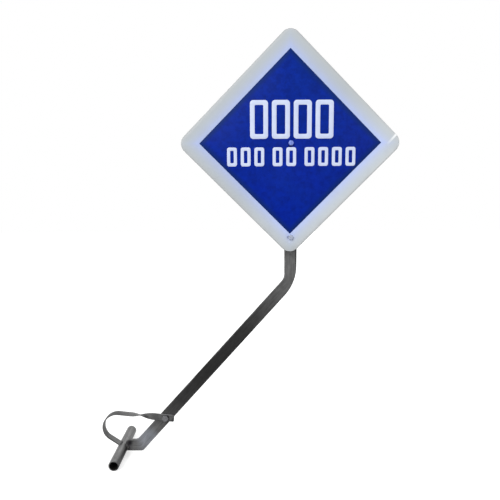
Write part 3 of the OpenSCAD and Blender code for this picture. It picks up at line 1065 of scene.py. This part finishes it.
def makeWelds():
    bead = weldMaterial()
    makePiece("footBeads", joined([footBead(-1), footBead(1)]), bead, ["foot_weld"], 60)
    makePiece("strapBeads", joined([strapBead(-1), strapBead(1)]), bead, ["strap_weld"], 60)


makeWelds()
print("welds made")

# Fasteners: each bolt with its washer, lock washer and nut

boltSetup = {
    "strap": {"diameter": 0.0095, "flats": 0.0143, "pitch": 0.0015875, "zinc": (0.130, 0.130, 0.138)},
    "centre": {"diameter": 0.00635, "flats": 0.0111, "pitch": 0.00127, "zinc": (0.155, 0.215, 0.54)},
    "lower": {"diameter": 0.00635, "flats": 0.0111, "pitch": 0.00127, "zinc": (0.325, 0.360, 0.455)},
    "behind": (0.21, 0.213, 0.218),  # the zinc behind the heads
    "gains": [(0.3, 0.55), (0.5, 1.0), (0.7, 1.35)],  # brightness of the zinc's patches, dull to bright
    "headShare": 0.65,
    "faceShare": 0.95,
    "threadDepth": 0.61,             # as a share of the pitch
    "holePlay": 0.0008,
    "borePlay": 0.00005,
    "lead": 0.0004,                  # bevel at the ends of a nut's bore
    "lockGap": 0.0012,
    "lockTurn": -30,                 # degrees from +X to the gap
    "edge": 0.00025,
}
hexAngle = np.linspace(0, 2 * np.pi, 96, endpoint=False)[None, :]


def platedMaterial(name, front, divide):
    # Dulled zinc: cloudy patches and fine scratches, in one colour for the head and one for all behind it
    material, place = startMaterial(name, 0.6, 0.3)
    cloud = noise(place, 240, 4, 0.6)
    scratch = noise(stretched(place, (1500, 200, 300)), 1.0, 3, 0.6)
    tone = average(cloud, scratch, 0.3)
    ramps = [ramp(tone, [(at, tuple(gain * level for level in middle)) for at, gain in boltSetup["gains"]])
             for middle in (front, boltSetup["behind"])]
    colour = blend(spread(part(place, "Y"), divide, divide + 0.0005, 0, 1), *ramps)
    return finishMaterial(material, colour, spread(tone, 0.3, 0.7, 0.52, 0.34), scratch, 0.00003, 0.6)


def hexRings(place, rows):
    # Rings of pairs (Y, radius), whose radius is one number or one for each of the angles
    level = np.array([level for level, radius in rows])[:, None]
    radii = np.vstack([np.broadcast_to(radius, hexAngle.shape) for level, radius in rows])
    return ringsAround(place, level, radii, hexAngle)


def hexEnd(flats, steps=8):
    # Rows from a bevelled hexagon's end face: the drop below it, and the radius, which is the smaller of the
    # 30 degree cone's and the side's, flats / 2 / cos(angle from the side's middle)
    side = flats / 2 / np.cos(np.mod(hexAngle, np.pi / 3) - np.pi / 6)
    face = boltSetup["faceShare"] * flats / 2
    slope = math.tan(math.radians(30))
    drop = np.linspace(0, (flats / math.sqrt(3) - face) * slope, steps)
    return face, side, [(fall, np.minimum(side, face + fall / slope)) for fall in drop]


def boltSurface(place, head, seat, end, sizes):
    # Hexagon head under its cone, plain shank, then a thread: with k = Y / pitch - angle / 360 degrees, the
    # radius is the root's plus the depth * a triangle wave of k, held below the end's 45 degree bevel
    radius, pitch = sizes["diameter"] / 2, sizes["pitch"]
    depth = boltSetup["threadDepth"] * pitch
    edge = boltSetup["edge"]
    face, side, cone = hexEnd(sizes["flats"])
    rows = [(head, 0.45 * face), (head, face - edge)]
    rows += [(head + fall + edge / 4, limit) for fall, limit in cone]
    rows += [(seat - edge, side), (seat, side - edge), (seat, radius), (postHigh.y, radius)]
    level = np.arange(postHigh.y + pitch / 10, end, pitch / 10)[:, None]
    wave = np.abs(2 * np.mod(level / pitch - hexAngle / (2 * np.pi), 1) - 1)
    thread = radius - depth * np.clip(1.25 * wave - 0.05, 0, 1)
    rows += list(zip(level[:, 0], np.minimum(thread, radius - depth + (end - level))))
    rows += [(end, radius - depth), (end, 0.6 * (radius - depth))]
    return cappedRings(hexRings(place, rows))


def nutSurface(place, front, back, sizes):
    # A hexagon between two cones, with a round bore: a closed profile of radii carried round the axis
    bore = sizes["diameter"] / 2 + boltSetup["borePlay"]
    lead = boltSetup["lead"]
    cone = hexEnd(sizes["flats"])[-1]
    rows = [(front + lead, bore), (front, bore + lead)]
    rows += [(front + fall, limit) for fall, limit in cone]
    rows += [(back - fall, limit) for fall, limit in cone[::-1]]
    rows += [(back, bore + lead), (back - lead, bore)]
    return loopedRings(hexRings(place, rows))


def washerSection(low, high, across, bore):
    # The rounded section of a washer as pairs (Y, radius)
    return softBox((low.y, bore / 2), (high.y, across / 2), boltSetup["edge"], 3)


def lockSurface(place, section):
    # A washer's section carried round the axis, short of a full turn by the gap, with flat ends
    halfGap = boltSetup["lockGap"] / (section[:, 1].min() + section[:, 1].max())
    start = math.radians(boltSetup["lockTurn"])
    turn = np.linspace(start + halfGap, start + 2 * np.pi - halfGap, 80)[:, None]
    return cappedRings(ringsAround(place, section[:, 0], section[:, 1], turn))


def makeFastener(label):
    sizes = boltSetup[label]
    place = boltPlace(label)
    low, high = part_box(label + "_bolt")
    seat = low.y + boltSetup["headShare"] * sizes["diameter"]
    material = platedMaterial(label + "Zinc", sizes["zinc"], seat)
    bolt = boltSurface(place, low.y, seat, high.y, sizes)
    low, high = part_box(label + "_washer")
    bore = sizes["diameter"] + boltSetup["holePlay"]
    washer = turned(washerSection(low, high, high.x - low.x, bore), place)
    low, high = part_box(label + "_lock_washer")
    bore = sizes["diameter"] + boltSetup["holePlay"] / 2
    lock = lockSurface(place, washerSection(low, high, high.z - low.z, bore))
    low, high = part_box(label + "_nut")
    nut = nutSurface(place, low.y, high.y, sizes)
    pieces = [("BoltThreaded", "_bolt", bolt, 32), ("FlatWasher", "_washer", washer, 40),
              ("LockWasher", "_lock_washer", lock, 40), ("HexNut", "_nut", nut, 32)]
    for name, node, surface, creaseAngle in pieces:
        makePiece(label + name, surface, material, [label + node], creaseAngle)


for label in ("strap", "centre", "lower"):
    makeFastener(label)
print("fasteners made")

# Studio: pale floor, white surroundings and soft lamps

studioSetup = {
    "floorSize": 14.0,
    "floorGlow": (0.60, 0.86),   # what the camera sees of the floor apart from its shaded part, near and far
    "glowReach": (0.9, 3.0),
    "floorShade": (0.26, 0.55),  # the floor's own grey, as it lights the sign and as the camera sees it
    "ambient": 0.55,
    "lamps": [
        {"name": "key", "place": (-1.5, -2.3, 2.5), "aim": (0.3, 0.0, 0.5), "size": 1.8, "power": 105},
        {"name": "fill", "place": (2.4, -2.0, 1.4), "aim": (0.4, 0.0, 0.5), "size": 2.0, "power": 22},
        {"name": "backLight", "place": (1.0, 2.6, 2.2), "aim": (0.3, 0.0, 0.5), "size": 2.2, "power": 60},
    ],
}


def seenDirectly(tree):
    # 1 for camera, mirror and see-through rays, 0 for the light that falls on surfaces
    rays = addNode("LightPath", {}, tree).outputs
    shiny = calc("MAXIMUM", rays["Is Glossy Ray"], rays["Is Transmission Ray"])
    return calc("MAXIMUM", rays["Is Camera Ray"], shiny)


def makeSurroundings(setup):
    world = bpy.data.worlds.new("studio")
    scene.world = world
    world.use_nodes = True
    tree = world.node_tree
    background = tree.nodes["Background"]
    background.inputs["Color"].default_value = (1, 1, 1, 1)
    tree.links.new(spread(seenDirectly(tree), 0, 1, setup["ambient"], 1), background.inputs["Strength"])


def makeFloor(setup):
    half = setup["floorSize"] / 2
    mesh = bpy.data.meshes.new("floor")
    corners = [(x * half, y * half, cadLow.z) for x, y in ((-1, -1), (1, -1), (1, 1), (-1, 1))]
    mesh.from_pydata(corners, [], [(0, 1, 2, 3)])
    floor = bpy.data.objects.new("floor", mesh)
    scene.collection.objects.link(floor)
    material, place = startMaterial("paleFloor", 0.0, 0.0)
    tree = material.node_tree
    inputs = tree.nodes["Principled BSDF"].inputs
    inputs["Roughness"].default_value = 0.9
    inputs["Emission Color"].default_value = (1, 1, 1, 1)
    seen = seenDirectly(tree)
    tree.links.new(spread(seen, 0, 1, *setup["floorShade"]), inputs["Base Color"])
    away = vectorCalc("LENGTH", place, result="Value")
    glow = calc("MULTIPLY", seen, spread(away, *setup["glowReach"], *setup["floorGlow"]))
    tree.links.new(glow, inputs["Emission Strength"])
    mesh.materials.append(material)


def makeLamp(setup):
    lamp = bpy.data.objects.new(setup["name"], bpy.data.lights.new(setup["name"], "AREA"))
    lamp.data.size = setup["size"]
    lamp.data.energy = setup["power"]
    lamp.location = setup["place"]
    lamp.rotation_euler = (Vector(setup["aim"]) - Vector(setup["place"])).to_track_quat("-Z", "Y").to_euler()
    scene.collection.objects.link(lamp)


makeSurroundings(studioSetup)
makeFloor(studioSetup)
for lampSetup in studioSetup["lamps"]:
    makeLamp(lampSetup)
scene.view_settings.view_transform = "Standard"
print("studio made")
